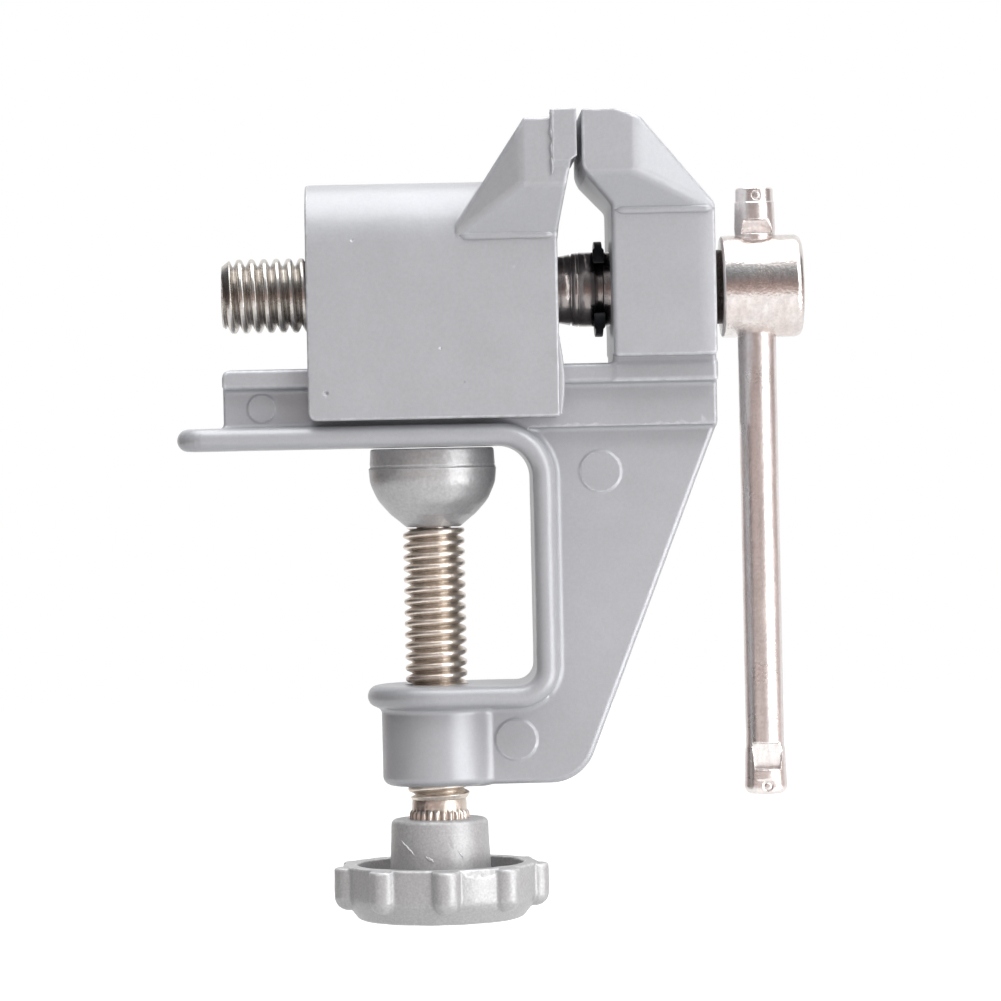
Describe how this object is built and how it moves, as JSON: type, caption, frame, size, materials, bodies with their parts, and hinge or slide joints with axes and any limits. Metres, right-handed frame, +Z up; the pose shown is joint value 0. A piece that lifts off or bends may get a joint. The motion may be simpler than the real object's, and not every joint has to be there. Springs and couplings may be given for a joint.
{
  "type": "clamp-on table vise",
  "caption": "Small cast vise that clamps to a table edge: sliding jaw on a T-rail, vise screw with sliding bar, clamp screw with swivel pad and lobed knob.",
  "frame": {"origin": "on the clamp screw's axis, at the underside of the top plate, where the plate rests on the table", "axes": "+X along the vise screw towards its handle, +Y across the jaws, +Z up"},
  "size_m": [0.0801, 0.0308, 0.1025],
  "materials": {
    "cast_frame": "die-cast alloy under satin silver-grey paint",
    "cast_jaw": "die-cast alloy under satin silver-grey paint",
    "nickel_screw": "turned steel, nickel plated",
    "black_clip": "black oxide spring steel",
    "nickel_bar": "nickel plated steel, slightly pink",
    "bronze_nickel": "warm nickel plated steel",
    "cast_pad": "die-cast alloy, matte silver",
    "cast_knob": "die-cast alloy, matte silver"
  },
  "bodies": {
    "frame": {"frame": "cast_frame"},
    "sliding_jaw": {"sliding_jaw": "cast_jaw"},
    "vise_screw": {"vise_screw": "nickel_screw", "retaining_clip": "black_clip"},
    "handle_bar": {"handle_bar": "nickel_bar"},
    "clamp_pad": {"clamp_pad": "cast_pad"},
    "clamp_screw": {"clamp_screw": "bronze_nickel", "clamp_knob": "cast_knob"}
  },
  "joints": [
    {"name": "screw_turn", "type": "hinge", "parent": "frame", "child": "vise_screw", "pos_m": [0, 0, 0.0198], "axis": [1, 0, 0], "range_deg": [0, 6804]},
    {"name": "jaw_travel", "type": "slide", "parent": "frame", "child": "sliding_jaw", "axis": [-1, 0, 0], "range_m": [0, 0.03]},
    {"name": "handle_slide", "type": "slide", "parent": "vise_screw", "child": "handle_bar", "axis": [0, 0, 1], "range_m": [0, 0.0524]},
    {"name": "clamp_travel", "type": "slide", "parent": "frame", "child": "clamp_pad", "axis": [0, 0, 1], "range_m": [-0.0195, 0]},
    {"name": "clamp_turn", "type": "hinge", "parent": "clamp_pad", "child": "clamp_screw", "pos_m": [0, 0, -0.005], "axis": [0, 0, 1], "range_deg": [-4975, 0]}
  ],
  "couplings": [
    {"joint": "screw_turn", "follows": "jaw_travel", "rad_per_m": 3957.9},
    {"joint": "clamp_turn", "follows": "clamp_travel", "rad_per_m": 4452.7}
  ]
}
